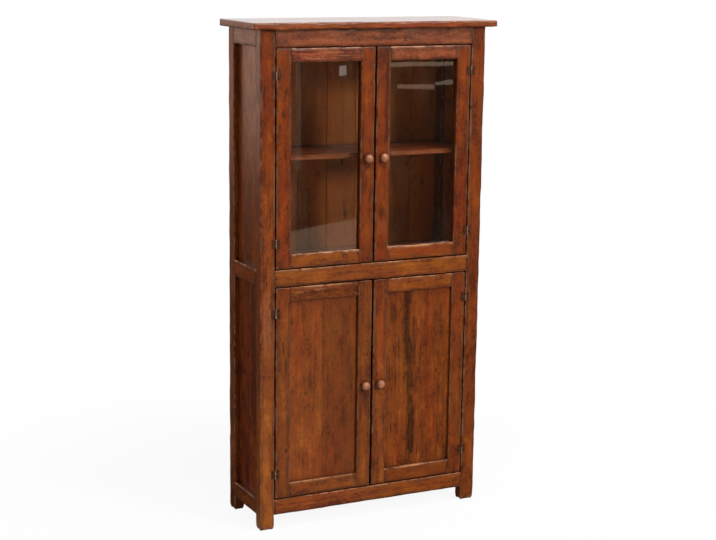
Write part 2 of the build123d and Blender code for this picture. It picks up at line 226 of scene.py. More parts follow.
def buildWoodFigure():
    # Rings are the distance from a pith line along Z, divided by the ring width and bent by noise
    # and by nearby knots. Streaks are noise drawn out along Z. Knots are the cores of Voronoi cells.
    tree = bpy.data.node_groups.new("woodFigure", "ShaderNodeTree")
    openTree(tree)
    kinds = {"place": "Vector", "light": "Color", "middle": "Color", "dark": "Color"}
    kinds.update(dict.fromkeys(figureNumbers, "Float"))
    for name, kind in kinds.items():
        tree.interface.new_socket(name=name, in_out="INPUT", socket_type=f"NodeSocket{kind}")
    for name, kind in {"colour": "Color", "tone": "Float", "height": "Float"}.items():
        tree.interface.new_socket(name=name, in_out="OUTPUT", socket_type=f"NodeSocket{kind}")
    given = node("NodeGroupInput")
    place = given["place"]
    push = shifted(noise(place, *noises["ringDrift"])[1], (-0.5, -0.5, -0.5))
    bent = shifted(place, scaled(push, figure["drift"]))

    cellPlace = scaled(bent, figure["knotCells"])
    cells = node("TexVoronoi", {"Vector": cellPlace, "Scale": 1.0, "Randomness": 1.0}, feature="F1")
    chance = node("SeparateColor", {0: cells["Color"]})
    isKnot = times(ramp(chance[0], *figure["knotChance"]), given["knots"])
    size = timesPlus(chance[1], *figure["knotSize"])
    away = number("DIVIDE", cells["Distance"], size)
    ragged = figure["knotRagged"]
    away = plus(away, timesPlus(cloud(place, *noises["knotEdge"]), ragged, -ragged / 2))
    core = times(ramp(away, *figure["core"]), isKnot)
    halo = times(ramp(away, *figure["halo"]), isKnot)

    parts = node("SeparateXYZ", {0: bent})
    flat = node("CombineXYZ", {0: parts[0], 1: parts[1], 2: 0.0})[0]
    radius = node("VectorMath", {0: flat}, operation="LENGTH")["Value"]
    rings = number("DIVIDE", radius, given["ring"])
    rings = timesPlus(cloud(bent, *noises["ringWobble"]), figure["wobble"], rings)
    rings = timesPlus(halo, figure["knotBend"], rings)
    phase = number("FRACT", rings)
    late = times(ramp(phase, *figure["early"]), ramp(phase, *figure["late"]))

    clouds = {word: cloud(bent, *noises[word]) for word in ("broad", "middle", "speckle")}
    clouds.update({word: cloud(place, *noises[word]) for word in ("fine", "mottle", "fleck")})
    for word, offset in figure["shifts"].items():
        clouds[word] = cloud(shifted(bent, offset), *noises[word])
    streaks, patches = 0.0, 0.0
    for word, strength in figure["streaks"].items():
        streaks = timesPlus(minus(clouds[word], 0.5), strength * figure["streakGain"], streaks)
    for word, strength in figure["patches"].items():
        patches = timesPlus(minus(clouds[word], 0.5), strength, patches)
    tone = timesPlus(streaks, given["streaks"], given["level"])
    tone = timesPlus(patches, given["mottle"], tone)
    tone = minus(tone, times(late, given["contrast"]))
    tone = number("SUBTRACT", tone, times(halo, figure["haloDark"]), clamp=True)

    colour = blendColour(ramp(tone, *figure["darkToMiddle"]), given["dark"], given["middle"])
    colour = blendColour(ramp(tone, *figure["middleToLight"]), colour, given["light"])
    colour = tinted(ramp(clouds["hue"], *figure["redRange"]), colour, figure["redder"])
    colour = tinted(ramp(clouds["hue"], *figure["yellowRange"]), colour, figure["yellower"])
    colour = blendColour(times(core, figure["knotShare"]), colour, figure["knot"])
    fleckAllowed, poreAllowed = figure["allowed"]
    fleck = times(ramp(clouds["fleck"], *figure["fleckRange"]), ramp(clouds["mottle"], *fleckAllowed))
    colour = tinted(times(fleck, figure["fleckShare"]), colour, figure["fleck"])
    pores = times(ramp(clouds["fine"], *figure["poreRange"]), ramp(clouds["middle"], *poreAllowed))
    colour = tinted(times(pores, figure["poreShare"]), colour, figure["fleck"])

    heights = figure["heights"]
    height = timesPlus(late, heights["late"], times(clouds["fine"], heights["fine"]))
    for word, share in (("pores", pores), ("core", core), ("fleck", fleck)):
        height = timesPlus(share, heights[word], height)
    node("NodeGroupOutput", {"colour": colour, "tone": tone, "height": height})
    return tree


woodFigure = buildWoodFigure()

# stain colours, linear: light, middle and dark streaks
woodTones = {
    "amber": ((0.290, 0.077, 0.010, 1), (0.192, 0.043, 0.005, 1), (0.088, 0.018, 0.003, 1)),
    "russet": ((0.243, 0.052, 0.006, 1), (0.152, 0.027, 0.003, 1), (0.069, 0.012, 0.002, 1)),
    "umber": ((0.245, 0.059, 0.008, 1), (0.158, 0.034, 0.004, 1), (0.074, 0.015, 0.002, 1)),
    # rose: a redder tone whose extra blue is a painted sheen, on the top board, the top rails and the upper
    # shelf
    "rose": ((0.280, 0.070, 0.021, 1), (0.182, 0.039, 0.011, 1), (0.083, 0.017, 0.005, 1)),
    "honey": ((0.460, 0.150, 0.028, 1), (0.310, 0.086, 0.015, 1), (0.145, 0.034, 0.007, 1)),
}

# turns that carry the grain of a board onto the figure's Z axis
grainTurn = {"Z": (0, 0, 0), "X": (0, math.radians(-90), 0), "Y": (math.radians(90), 0, 0)}

finish = {
    "roughness": (0.34, 0.24),  # dark streaks and light streaks
    "grimeAndShadeRoughness": 0.15,
    "specular": 0.18,
    "bump": (0.25, 0.0006),  # strength and distance
    "handBump": (0.30, 0.0030),  # shallow waves left by the plane
    # pale colour of arrises paled by wearing, also that of painted highlights
    "wearColour": (0.46, 0.185, 0.075, 1),
    # reach of the ambient occlusion that paints shade into corners
    "cornerShadeReach": 0.018,
    "rimShade": (0.30, 0.90),  # least and most painted shade along an arris
    "ledgeWearAndHighlight": (0.25, 2.3),  # paling of a level board's lower and upper arrises; on the upper ones it is mostly a painted highlight of light from above
    # colour multiplied in by dirt and painted shade
    "grimeAndShadeColour": (0.24, 0.17, 0.15, 1),
    "markColour": (0.22, 0.36, 0.42, 1),
    "corners": (0.80, 0.30),  # how open a corner is where painted shade starts, and where it is full
    "cornerShade": (0.45, 0.95),
    "footDarkening": 0.022,  # metres above the floor over which the wood is painted darker
    "footShare": 0.85,
    "touchShare": 0.62,
    "touchHeight": 1.3,  # of its width
    "markEdge": (1.1, 0.45),  # where a mark starts and where it is full, in half widths
    "markRagged": 1.6,
    "shineEdge": 0.0015,  # metres over which a polish sets in
    "seedStep": 2.37,  # metres along the figure from one board to the next
    "toneChange": (0.85, 1.45),  # heights over which toneAbove takes over
    "stripJump": (0.05, 0.05, 4.0),  # how far apart the wood of two strips may lie
    "stripShade": (0.82, 1.12),
    "coat": 0.08,
    "coatRoughness": 0.12,
}

boardDefaults = {
    "tone": "amber",
    "pith": (0.070, 0.045),  # metres from the board's middle to the pith
    "ring": 0.0060,
    "contrast": 0.16,
    "knots": 1.0,
    "mottle": 1.2,
    "streaks": 1.0,
    "level": 0.55,  # middle of the tones, 0 dark to 1 light
    "toneAbove": None,  # the tone that takes over above the middle rail
    "inside": None,  # a lighter tone for a panel's inner face, painted light inside the cabinet, and that face's distance from the cabinet's middle
    # paling of the arrises, from wearing and as a painted highlight
    "wear": 0.50,
    "gloss": None,  # polish of what lies above a height: height, roughness, specular, coat
    "strips": None,  # (axis, start, width) of glued or loose boards in one node
    "touched": (),  # places darkened by hands: x, z, radius
    "marks": (),  # knots and dark streaks: x, z, half width, half height, strength
    "rubs": (),  # pale patches painted as highlights, given in the same way
}


def stripPlace(spec, axes, place):
    # each strip of a glued or laid surface takes its wood from elsewhere in the figure
    axis, start, width = spec["strips"]
    index = number("DIVIDE", minus(axes["XYZ".index(axis)], start), width)
    index = plus(number("FLOOR", index), spec["seed"])
    dice = node("TexWhiteNoise", {"W": index}, noise_dimensions="1D")
    moved = shifted(place, scaled(dice["Color"], finish["stripJump"]))
    return moved, ramp(dice["Value"], 0.0, 1.0, *finish["stripShade"])


def markShare(position, axes, mark):
    # an upright oval patch whose edge wanders, 0 outside to strength inside
    x, z, halfWidth, halfHeight, strength = mark
    wander = cloud(position, *noises["markEdge"])
    sideways = number("DIVIDE", minus(axes[0], x), halfWidth)
    upward = number("DIVIDE", minus(axes[2], z), halfHeight)
    far = number("SQRT", plus(times(sideways, sideways), times(upward, upward)))
    far = plus(far, timesPlus(wander, finish["markRagged"], -finish["markRagged"] / 2))
    return ramp(far, *finish["markEdge"], 0.0, strength)


def boardTones(spec, axes):
    tones = woodTones[spec["tone"]]
    changes = []
    if spec["toneAbove"]:
        changes.append((ramp(axes[2], *finish["toneChange"]), spec["toneAbove"]))
    if spec["inside"]:
        word, reach = spec["inside"]
        changes.append((ramp(number("ABSOLUTE", axes[0]), reach + millimetre, reach), word))
    for share, word in changes:
        tones = [blendColour(share, *pair) for pair in zip(tones, woodTones[word])]
    return dict(zip(("light", "middle", "dark"), tones))


def grimeAndShadeShare(spec, position, axes, patchy):
    # painted shade: ambient occlusion darkens corners, and a darkening runs along arrises and board ends; the
    # wood is also darker towards the floor, and real dirt lies round what hands touch
    near = node("AmbientOcclusion", {"Distance": finish["cornerShadeReach"]}, samples=4)["AO"]
    grimeAndShade = times(ramp(near, *finish["corners"]), ramp(patchy, 0.2, 0.6, *finish["cornerShade"]))
    rim = node("Attribute", attribute_name="rim")["Fac"]
    grimeAndShade = larger(grimeAndShade, times(rim, ramp(patchy, 0.30, 0.62, *finish["rimShade"])))
    foot = ramp(axes[2], finish["footDarkening"], 0.0, 0.0, finish["footShare"])
    grimeAndShade = larger(grimeAndShade, foot)
    for x, z, reach in spec["touched"]:
        mark = (x, z, reach, reach * finish["touchHeight"], finish["touchShare"])
        grimeAndShade = larger(grimeAndShade, markShare(position, axes, mark))
    return grimeAndShade


def wearAndHighlightShare(name, spec, position, axes, patchy):
    # arrises are painted paler, partly from wearing and partly as a painted highlight, level boards most on
    # their upper arrises; the attribute is 1 on them
    arris = node("Attribute", attribute_name="arris")["Fac"]
    wornAndLit = times(times(arris, ramp(patchy, 0.36, 0.62)), spec["wear"])
    if spec["grain"] != "Z":
        low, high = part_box(name)
        ledge = ramp(axes[2], low.z, high.z, *finish["ledgeWearAndHighlight"])
        wornAndLit = number("MULTIPLY", wornAndLit, ledge, clamp=True)
    for mark in spec["rubs"]:
        wornAndLit = larger(wornAndLit, markShare(position, axes, mark))
    return wornAndLit


def polish(spec, axes, rough):
    specular, coat = finish["specular"], finish["coat"]
    if spec["gloss"]:
        start, shineRough, shineSpecular, shineCoat = spec["gloss"]
        upper = ramp(axes[2], start, start + finish["shineEdge"])
        rough = plus(rough, times(upper, minus(shineRough, rough)))
        specular = timesPlus(upper, shineSpecular - specular, specular)
        coat = timesPlus(upper, shineCoat - coat, coat)
    return {"Roughness": rough, "Specular IOR Level": specular, "Coat Weight": coat}


def woodMaterial(name, spec):
    material = newMaterial(name)
    position, axes = onObject()
    low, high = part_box(name)
    turn = Euler(grainTurn[spec["grain"]])
    middle = turn.to_matrix() @ ((low + high) / 2)
    offset = Vector((*spec["pith"], spec["seed"] * finish["seedStep"])) - middle
    place = node("Mapping", {"Vector": position, "Location": offset, "Rotation": turn})[0]
    stripShade = None
    if spec["strips"]:
        place, stripShade = stripPlace(spec, axes, place)
    given = {"place": place, **boardTones(spec, axes), **{word: spec[word] for word in figureNumbers}}
    wood = node("Group", given, node_tree=woodFigure)
    colour = wood["colour"]
    if stripShade is not None:
        grey = node("CombineColor", dict.fromkeys(range(3), stripShade))[0]
        colour = blendColour(1.0, colour, grey, "MULTIPLY")

    patchy = cloud(position, *noises["patchy"])
    grimeAndShade = grimeAndShadeShare(spec, position, axes, patchy)
    for mark in spec["marks"]:
        colour = tinted(markShare(position, axes, mark), colour, finish["markColour"])
    # dirt and painted shade darken the colour
    colour = tinted(grimeAndShade, colour, finish["grimeAndShadeColour"])
    wornAndLit = wearAndHighlightShare(name, spec, position, axes, patchy)
    # wearing and painted highlights make the colour paler
    colour = blendColour(wornAndLit, colour, finish["wearColour"])

    waves = bumped(*finish["handBump"], cloud(place, *noises["handWave"]))
    normal = bumped(*finish["bump"], wood["height"], waves)
    rough = ramp(wood["tone"], 0.1, 0.9, *finish["roughness"])
    rough = timesPlus(grimeAndShade, finish["grimeAndShadeRoughness"], rough)
    given = {"Base Color": colour, "Normal": normal, "Coat Roughness": finish["coatRoughness"]}
    surface(node("BsdfPrincipled", {**given, **polish(spec, axes, rough)})[0])
    return material


# every board and its figure: what differs from boardDefaults; the order sets the seeds

# side panels: the honey inside tone is painted light on their inner faces
sidePanel = {"tone": "umber", "inside": ("honey", 0.4125)}
duskPost = {"tone": "umber", "gloss": (0.0, 0.42, 0.16, 0.03)}
upperRail = {"tone": "rose", "gloss": (0.0, 0.30, 0.34, 0.14)}

# each board's pale patches are painted highlights
boards = {
    "front_left_post": {
        "toneAbove": "russet",
        "pith": (0.060, 0.10),
        "marks": ((-0.425, 0.93, 0.010, 0.030, 0.5), (-0.410, 1.20, 0.006, 0.05, 0.4)),
        "rubs": ((-0.412, 0.76, 0.022, 0.13, 0.16),),
    },
    "front_right_post": {"tone": "umber", "toneAbove": "russet", "pith": (-0.075, 0.10), "level": 0.52},
    "back_left_post": duskPost,
    "back_right_post": {**duskPost, "pith": (0.09, -0.05)},
    "left_upper_panel": {**sidePanel, "strips": ("Y", -0.092, 0.112), "level": 0.46},
    "left_lower_panel": {**sidePanel, "tone": "russet", "strips": ("Y", -0.092, 0.106), "level": 0.36},
    "right_upper_panel": {**sidePanel, "strips": ("Y", -0.092, 0.109), "level": 0.46},
    "right_lower_panel": {**sidePanel, "strips": ("Y", -0.092, 0.115), "level": 0.40},
    "back_boards": {
        "tone": "honey",
        "strips": ("X", -0.4075, 0.8150 / 7),
        "contrast": 0.10,
        "streaks": 0.55,
        "mottle": 0.65,
        "marks": (
            (0.344, 1.184, 0.012, 0.016, 0.7),
            (-0.092, 1.233, 0.010, 0.012, 0.6),
            (0.020, 1.073, 0.012, 0.020, 0.6),
        ),
    },
    "top_board": {
        "tone": "rose",
        "strips": ("Y", -0.1595, 0.1063),
        "pith": (0.05, 0.03),
        "level": 0.70,
        "wear": 0.22,
        "gloss": (1.7962, 0.22, 0.5, 0.45),
    },
    "upper_deck": {"tone": "honey", "strips": ("Y", -0.1035, 0.125)},
    "lower_deck": {"tone": "honey", "strips": ("Y", -0.1035, 0.125)},
    "upper_shelf": {
        "tone": "rose",
        "strips": ("Y", -0.0875, 0.118),
        "level": 0.34,
        "mottle": 0.8,
        "rubs": ((0.0, 1.328, 0.60, 0.008, 0.17),),
    },
    "lower_shelf": {"strips": ("Y", -0.0875, 0.118)},
    "deck_cleats": {"grain": "Y", "tone": "umber"},
    "shelf_cleats": {"grain": "Y", "tone": "umber"},
    "front_bottom_rail": {"pith": (0.05, 0.12)},
    "front_middle_rail": {"pith": (0.05, -0.10)},
    "front_top_rail": {
        "tone": "rose",
        "pith": (0.02, 0.13),
        "mottle": 1.8,
        "level": 0.77,
        "gloss": (0.0, 0.30, 0.40, 0.18),
    },
    **{
        f"{face}_{level}_rail": {"tone": "umber"}
        for face in ("back", "left", "right")
        for level in ("bottom", "middle", "top")
    },
    "upper_left_hinge_stile": {
        "tone": "russet",
        "pith": (-0.08, 0.06),
        "mottle": 1.4,
        "marks": ((-0.3467, 1.350, 0.0035, 0.028, 0.8), (-0.3384, 1.165, 0.006, 0.010, 0.7)),
    },
    "upper_left_meeting_stile": {"tone": "russet", "pith": (0.10, 0.06), "level": 0.42},
    "upper_left_top_rail": {
        **upperRail,
        "pith": (0.03, 0.03),
        "ring": 0.009,
        "contrast": 0.34,
        "mottle": 2.2,
        "level": 0.42,
        "rubs": (
            (-0.285, 1.705, 0.050, 0.0020, 0.34),
            (-0.180, 1.697, 0.060, 0.0024, 0.34),
            (-0.245, 1.677, 0.050, 0.0020, 0.26),
            (-0.120, 1.684, 0.034, 0.0022, 0.30),
        ),
    },
    "upper_left_bottom_rail": {"wear": 0.8},
    "upper_left_beads": {"tone": "umber"},
    "upper_right_hinge_stile": {"tone": "russet", "pith": (0.08, 0.06), "level": 0.36},
    "upper_right_meeting_stile": {
        "tone": "russet",
        "pith": (-0.10, 0.06),
        "level": 0.44,
        "marks": ((0.026, 1.132, 0.015, 0.034, 0.60), (0.0167, 1.009, 0.006, 0.013, 0.6)),
        "rubs": ((0.030, 1.075, 0.020, 0.030, 0.06),),
    },
    "upper_right_top_rail": {**upperRail, "level": 0.40, "mottle": 1.8},
    "upper_right_bottom_rail": {"wear": 0.8},
    "upper_right_beads": {"tone": "umber"},
    "lower_left_hinge_stile": {
        "tone": "umber",
        "pith": (-0.08, 0.05),
        "level": 0.48,
        "marks": (
            (-0.350, 0.665, 0.005, 0.030, 0.80),
            (-0.341, 0.600, 0.005, 0.030, 0.80),
            (-0.338, 0.289, 0.007, 0.010, 0.85),
        ),
    },
    "lower_left_meeting_stile": {"tone": "umber", "pith": (0.09, 0.05)},
    "lower_left_top_rail": {
        "tone": "umber",
        "pith": (0.03, 0.04),
        "mottle": 1.8,
        "rubs": ((-0.215, 0.868, 0.030, 0.006, 0.22), (-0.285, 0.862, 0.024, 0.005, 0.18)),
    },
    "lower_left_bottom_rail": {"wear": 0.8},
    "lower_left_panel": {
        "tone": "umber",
        "strips": ("X", -0.3325, 0.138),
        "pith": (0.02, 0.05),
        "level": 0.58,
        "streaks": 0.6,
        "mottle": 1.0,
        "marks": (
            (-0.313, 0.501, 0.007, 0.011, 0.6),
            (-0.254, 0.489, 0.009, 0.012, 0.6),
            (-0.080, 0.560, 0.022, 0.110, 0.3),
        ),
    },
    "lower_right_hinge_stile": {"tone": "umber", "pith": (0.08, 0.05), "level": 0.46},
    "lower_right_meeting_stile": {"pith": (-0.09, 0.05), "level": 0.42},
    "lower_right_top_rail": {},
    "lower_right_bottom_rail": {
        "tone": "umber",
        "rubs": ((0.178, 0.1655, 0.060, 0.0040, 0.95), (0.150, 0.1650, 0.040, 0.0035, 0.9)),
    },
    "lower_right_panel": {
        "tone": "umber",
        "strips": ("X", 0.0490, 0.138),
        "pith": (0.02, 0.05),
        "streaks": 1.1,
        "level": 0.52,
        "marks": (
            (0.147, 0.700, 0.015, 0.170, 0.62),
            (0.158, 0.500, 0.014, 0.170, 0.58),
            (0.171, 0.310, 0.018, 0.170, 0.70),
            (0.092, 0.750, 0.018, 0.050, 0.50),
            (0.271, 0.518, 0.007, 0.009, 0.60),
            (0.104, 0.327, 0.008, 0.012, 0.50),
        ),
    },
}

# where hands touch, in metres
touches = {"knobX": 0.0305, "belowKnob": 0.014, "knobReach": 0.026, "hingeX": 0.374, "hingeReach": 0.020}


def longestAxis(name):
    low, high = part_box(name)
    return "XYZ"[max(range(3), key=lambda axis: high[axis] - low[axis])]


for seed, (name, spec) in enumerate(boards.items(), 1):
    boards[name] = {**boardDefaults, "grain": longestAxis(name), "seed": seed, **spec}
for tier, hand, side in doorPlaces:
    knobTouch = (side * touches["knobX"], knobHeights[tier] - touches["belowKnob"], touches["knobReach"])
    hingeTouches = [(side * touches["hingeX"], z, touches["hingeReach"]) for z in hingeHeights[tier]]
    boards[f"{tier}_{hand}_meeting_stile"]["touched"] = [knobTouch]
    boards[f"{tier}_{hand}_hinge_stile"]["touched"] = hingeTouches
woods = {name: woodMaterial(name, spec) for name, spec in boards.items()}
for name, wood in woods.items():
    dress(name, wood)
print("wood:", len(boards), "boards")

# meshes from arrays of points


def meshObject(name, points, faces, material):
    mesh = bpy.data.meshes.new(name)
    mesh.from_pydata(points.tolist(), [], faces)
    mesh.validate()
    mesh.update()
    made = bpy.data.objects.new(name, mesh)
    bpy.context.scene.collection.objects.link(made)
    mesh.materials.append(material)
    return made


def tubeFaces(rings, around):
    # quads between neighbouring rings, wound outwards, and a cap at each end
    ring, step = np.meshgrid(np.arange(rings - 1), np.arange(around), indexing="ij")
    after = (step + 1) % around
    near, far = ring * around, (ring + 1) * around
    quads = np.stack([near + step, near + after, far + after, far + step], -1).reshape(-1, 4)
    last = (rings - 1) * around
    return quads.tolist() + [list(range(around))[::-1], list(range(last, last + around))]


def welded(made):
    # points that fall together become one, which leaves no face without area
    work = bmesh.new()
    work.from_mesh(made.data)
    bmesh.ops.remove_doubles(work, verts=work.verts, dist=1e-6)
    work.to_mesh(made.data)
    work.free()


sharpAngle = math.radians(40)


def smoothed(made):
    made.data.polygons.foreach_set("use_smooth", np.ones(len(made.data.polygons), bool))
    made.data.set_sharp_from_angle(angle=sharpAngle)


# boards worked by hand: no face quite flat, no arris quite even; lengths in millimetres

hewn = {
    "step": 12.0,  # between sections along the grain
    "flat": 9.0,  # and between points across a face
    "arcPoints": 6,
    "depth": 0.9,  # a low spot of a face
    "pitches": (70.0, 460.0),  # shortest and longest wave along the grain
    "slope": 0.7,  # share of the first coordinate in a wave's place across the grain
    "across": 130.0,
    "waves": 6,
    "fullWave": 0.62,  # share of all their heights that already counts as a full wave
    "arrisDrift": 0.7,  # share by which the rounding of an arris varies
    "arrisPitches": (60.0, 300.0),
    "stub": 3.0,  # how far a shouldered end runs on into its neighbour
    "stubShare": 0.6,
    "shoulderLine": 0.7,
    "spotReach": 26.0,  # flat round each hinge and knob
    "rimReach": 6.0,  # painted shade along an arris and a board's end
    "arrisWearAndHighlight": (0.35, 0.65),  # paling at the edges of an arris, and how much more along its middle, from wearing and as a painted highlight
    "endWearAndHighlight": (2.5, 0.8),  # inset of an end that counts as fully pale, and the most paling there, from wearing and as a painted highlight
    # rounding of a foot: distance from the floor and inset
    "foot": ((0.0, 7.5), (1.5, 4.9), (4.2, 2.8), (8.5, 1.2), (15.0, 0.3), (22.0, 0.0)),
}

outlineAxes = {"X": (1, 2), "Y": (2, 0), "Z": (0, 1)}  # axes of a section across each grain


def wornEnd(radius):
    # a quarter round: at angle t the section is radius (1 - sin t) from the end, inset radius (1 - cos t)
    turn = np.linspace(math.pi / 2, 0, hewn["arcPoints"])
    return [(radius * (1 - math.sin(t)), radius * (1 - math.cos(t)), 1.0) for t in turn]


def shoulder():
    line, share = hewn["shoulderLine"], hewn["stubShare"]
    return [(-hewn["stub"], 0.0, share), (0.0, 0.0, share), (0.0, line, 1.0), (line, 0.0, 1.0)]


def foot():
    return [(away, inset, 1.0) for away, inset in hewn["foot"]]


def sections(span, ends, housing=None):
    # rows of place, inset, share of full size and depth of the rebate, from one end to the other
    low, high = span
    first = [(low + away, inset, share) for away, inset, share in ends[0]]
    last = [(high - away, inset, share) for away, inset, share in ends[1]][::-1]
    count = max(2, int((last[0][0] - first[-1][0]) / hewn["step"]))
    between = [(place, 0.0, 1.0) for place in np.linspace(first[-1][0], last[0][0], count)[1:-1]]
    rows = first + between + last
    if housing is None:
        return np.array([(*row, 1.0) for row in rows])
    start, stop = housing
    rows = [(*row, float(start < row[0] < stop)) for row in rows if row[0] not in housing]
    rows += [(start, 0, 1, 0), (start, 0, 1, 1), (stop, 0, 1, 1), (stop, 0, 1, 0)]
    return np.array(sorted(rows, key=lambda row: row[0]))


def cornerRows(corners):
    # two coordinates, rounding, slide of a rebate (two), and 1 where the corner is left true; the rest is 0
    return np.array([(*row, *[0] * (6 - len(row))) for row in corners], float)


def outline(corners):
    # A corner of rounding e has its arc centre at corner - e (n1 + n2), where n1 and n2 are the outward
    # directions of its two sides, and arc points at centre + e (n1 cos t + n2 sin t).
    rows = cornerRows(corners)
    x, y = rows[:, 0], rows[:, 1]
    if np.sum(x * np.roll(y, -1) - np.roll(x, -1) * y) < 0:
        rows = rows[::-1]
    spots, eases, slides, isTrue = rows[:, :2], rows[:, 2], rows[:, 3:5], rows[:, 5]
    count = len(rows)
    leaving = np.roll(spots, -1, axis=0) - spots
    length = np.linalg.norm(leaving, axis=1)
    leaving = leaving / length[:, None]
    outward = np.stack([leaving[:, 1], -leaving[:, 0]], -1)
    edgePaling, middlePaling = hewn["arrisWearAndHighlight"]
    points = []
    for i in range(count):
        before = outward[i - 1]
        turns = np.linspace(0, math.pi / 2, hewn["arcPoints"]) if eases[i] > 0 else [math.pi / 4]
        for t in turns:
            toward = before * math.cos(t) + outward[i] * math.sin(t)
            pull = np.zeros((count, 2))
            arris = 0.0
            if eases[i] > 0:
                pull[i] = toward - before - outward[i]
                arris = edgePaling + middlePaling * math.sin(2 * t)
            normal = toward / np.linalg.norm(toward)
            points.append((spots[i], pull, slides[i], normal, 1 - isTrue[i], arris, 1.0))
        j = (i + 1) % count
        cuts = max(1, int(length[i] / hewn["flat"]))
        for share in np.arange(1, cuts) / cuts:
            pull = np.zeros((count, 2))
            pull[i] = (1 - share) * leaving[i]
            pull[j] = -share * leaving[i]
            spot = spots[i] * (1 - share) + spots[j] * share
            slide = slides[i] * (1 - share) + slides[j] * share
            loose = 1 - min(1.0, isTrue[i] + isTrue[j])
            rim = math.exp(-min(share, 1 - share) * length[i] / hewn["rimReach"])
            points.append((spot, pull, slide, outward[i], loose, 0.0, rim))
    keys = ("base", "ease", "slide", "normal", "loose", "arris", "rim")
    return dict(zip(keys, map(np.array, zip(*points)))), eases


def handWave(along, across, seed, pitches):
    # 0 to 1: a sum of sines whose pitch along the board grows from the shortest to the longest, each with
    # its own slant and start, and a height in step with the square root of its pitch
    dice = np.random.default_rng(seed)
    total, most = 0.0, 0.0
    for pitch in np.geomspace(*pitches, hewn["waves"]):
        height = math.sqrt(pitch)
        slant = dice.uniform(-1, 1) / hewn["across"]
        total = total + height * np.sin(2 * math.pi * (along / pitch + across * slant + dice.uniform()))
        most += height
    return 0.5 + 0.5 * np.clip(total / (hewn["fullWave"] * most), -1, 1)


def hewnBoard(
    name, corners, span, ends, body="cabinet", housing=None, depth=hewn["depth"], spots=(), depthAt=None
):
    # the outline carried along the grain: point = base + e pull + rebate slide, shrunk at a shoulder, then
    # moved inwards by the inset of the end and by the hand wave
    grain = boards[name]["grain"]
    seed = (boards[name]["seed"] - 1) * 10
    shape, eases = outline(corners)
    rows = sections(span, ends, housing)
    place, inset, share, rebate = (rows[:, k][:, None] for k in range(4))
    waves = [handWave(place, 0, seed + 1 + k, hewn["arrisPitches"]) for k in range(len(eases))]
    rounding = (1 + hewn["arrisDrift"] * (2 * np.concatenate(waves, 1) - 1)) * eases
    flat = shape["base"][None] + np.einsum("sc,nck->snk", rounding, shape["ease"])
    flat = flat + rebate[..., None] * shape["slide"][None]
    centre = (shape["base"].min(0) + shape["base"].max(0)) / 2
    flat = centre + (flat - centre) * share[..., None]
    low = handWave(place, flat[..., 0] * hewn["slope"] + flat[..., 1], seed, hewn["pitches"])
    low = low * shape["loose"][None] * depth
    if depthAt:
        low = low * depthAt(place, flat[..., 0], flat[..., 1])
    for spot in spots:
        low = low * (1 - np.exp(-(((place - spot) / hewn["spotReach"]) ** 2)))
    flat = flat - (low + inset)[..., None] * shape["normal"][None]
    points = np.empty(flat.shape[:2] + (3,))
    points[..., outlineAxes[grain]] = flat
    points[..., "XYZ".index(grain)] = place
    faces = tubeFaces(len(rows), points.shape[1])
    made = meshObject(f"{name}_hewn", points.reshape(-1, 3) * millimetre, faces, woods[name])
    fromEnd = np.minimum(place - span[0], span[1] - place)
    fullInset, endWearAndHighlight = hewn["endWearAndHighlight"]
    # arris paling, from wearing and as a painted highlight
    wornAndLitArris = np.maximum(shape["arris"][None], np.clip(inset / fullInset, 0, endWearAndHighlight)) * (share > 0.9)
    # the rim attribute carries painted shade along arrises and board ends
    edgeShade = np.maximum(shape["rim"][None], np.exp(-np.abs(fromEnd) / hewn["rimReach"]))
    for word, values in (("arris", wornAndLitArris), ("rim", edgeShade)):
        layer = made.data.attributes.new(word, "FLOAT", "POINT")
        layer.data.foreach_set("value", values.astype(np.float32).ravel())
    if housing:
        welded(made)
    smoothed(made)
    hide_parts(name)
    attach(made, body)


def boxCorners(first, second, eases):
    # a plain section: eases of its corners in the order low-low, high-low, high-high, low-high
    a, b = sorted(first)
    c, d = sorted(second)
    return [(*place, ease) for place, ease in zip(((a, c), (b, c), (b, d), (a, d)), eases)]


# the carcase, in millimetres

carcase = {
    "halfWidth": 437.5,
    "front": -132.5,
    "back": 159.5,
    "top": 1775.0,
    "frontPost": (55.0, 42.0),
    "backPost": (40.0, 48.0),
    "backRebate": (10.0, 12.0),
    "frontRail": 29.0,
    "sideRail": 34.0,
    "postEase": 3.6,
    "postEnd": 0.8,
    "railEase": 2.4,
    "hiddenEase": 0.8,
    "frontRailDepth": 1.3,
    "levels": {"bottom": (53.0, 110.0), "middle": (886.0, 946.0), "top": (1716.0, 1775.0)},
}


def hewnPosts():
    half, front, back = carcase["halfWidth"], carcase["front"], carcase["back"]
    ease = carcase["postEase"]
    span = (0.0, carcase["top"])
    ends = (foot(), wornEnd(carcase["postEnd"]))
    hinges = [z / millimetre for tier in ("upper", "lower") for z in hingeHeights[tier]]
    for hand, side in sides.items():
        width, deep = carcase["frontPost"]
        corners = boxCorners((side * half, side * (half - width)), (front, front + deep), (ease,) * 4)
        hewnBoard(f"front_{hand}_post", corners, span, ends, spots=hinges)
        width, deep = carcase["backPost"]
        rebateWidth, rebateDepth = carcase["backRebate"]
        inner, step = half - width, half - width + rebateWidth
        corners = [
            (side * inner, back - deep, ease),
            (side * half, back - deep, ease),
            (side * half, back, ease),
            (side * step, back, 0, 0, 0, 1),
            (side * step, back - rebateDepth, 0, 0, 0, 1),
            (side * inner, back - rebateDepth, 0, 0, 0, 1),
        ]
        hewnBoard(f"back_{hand}_post", corners, span, ends)


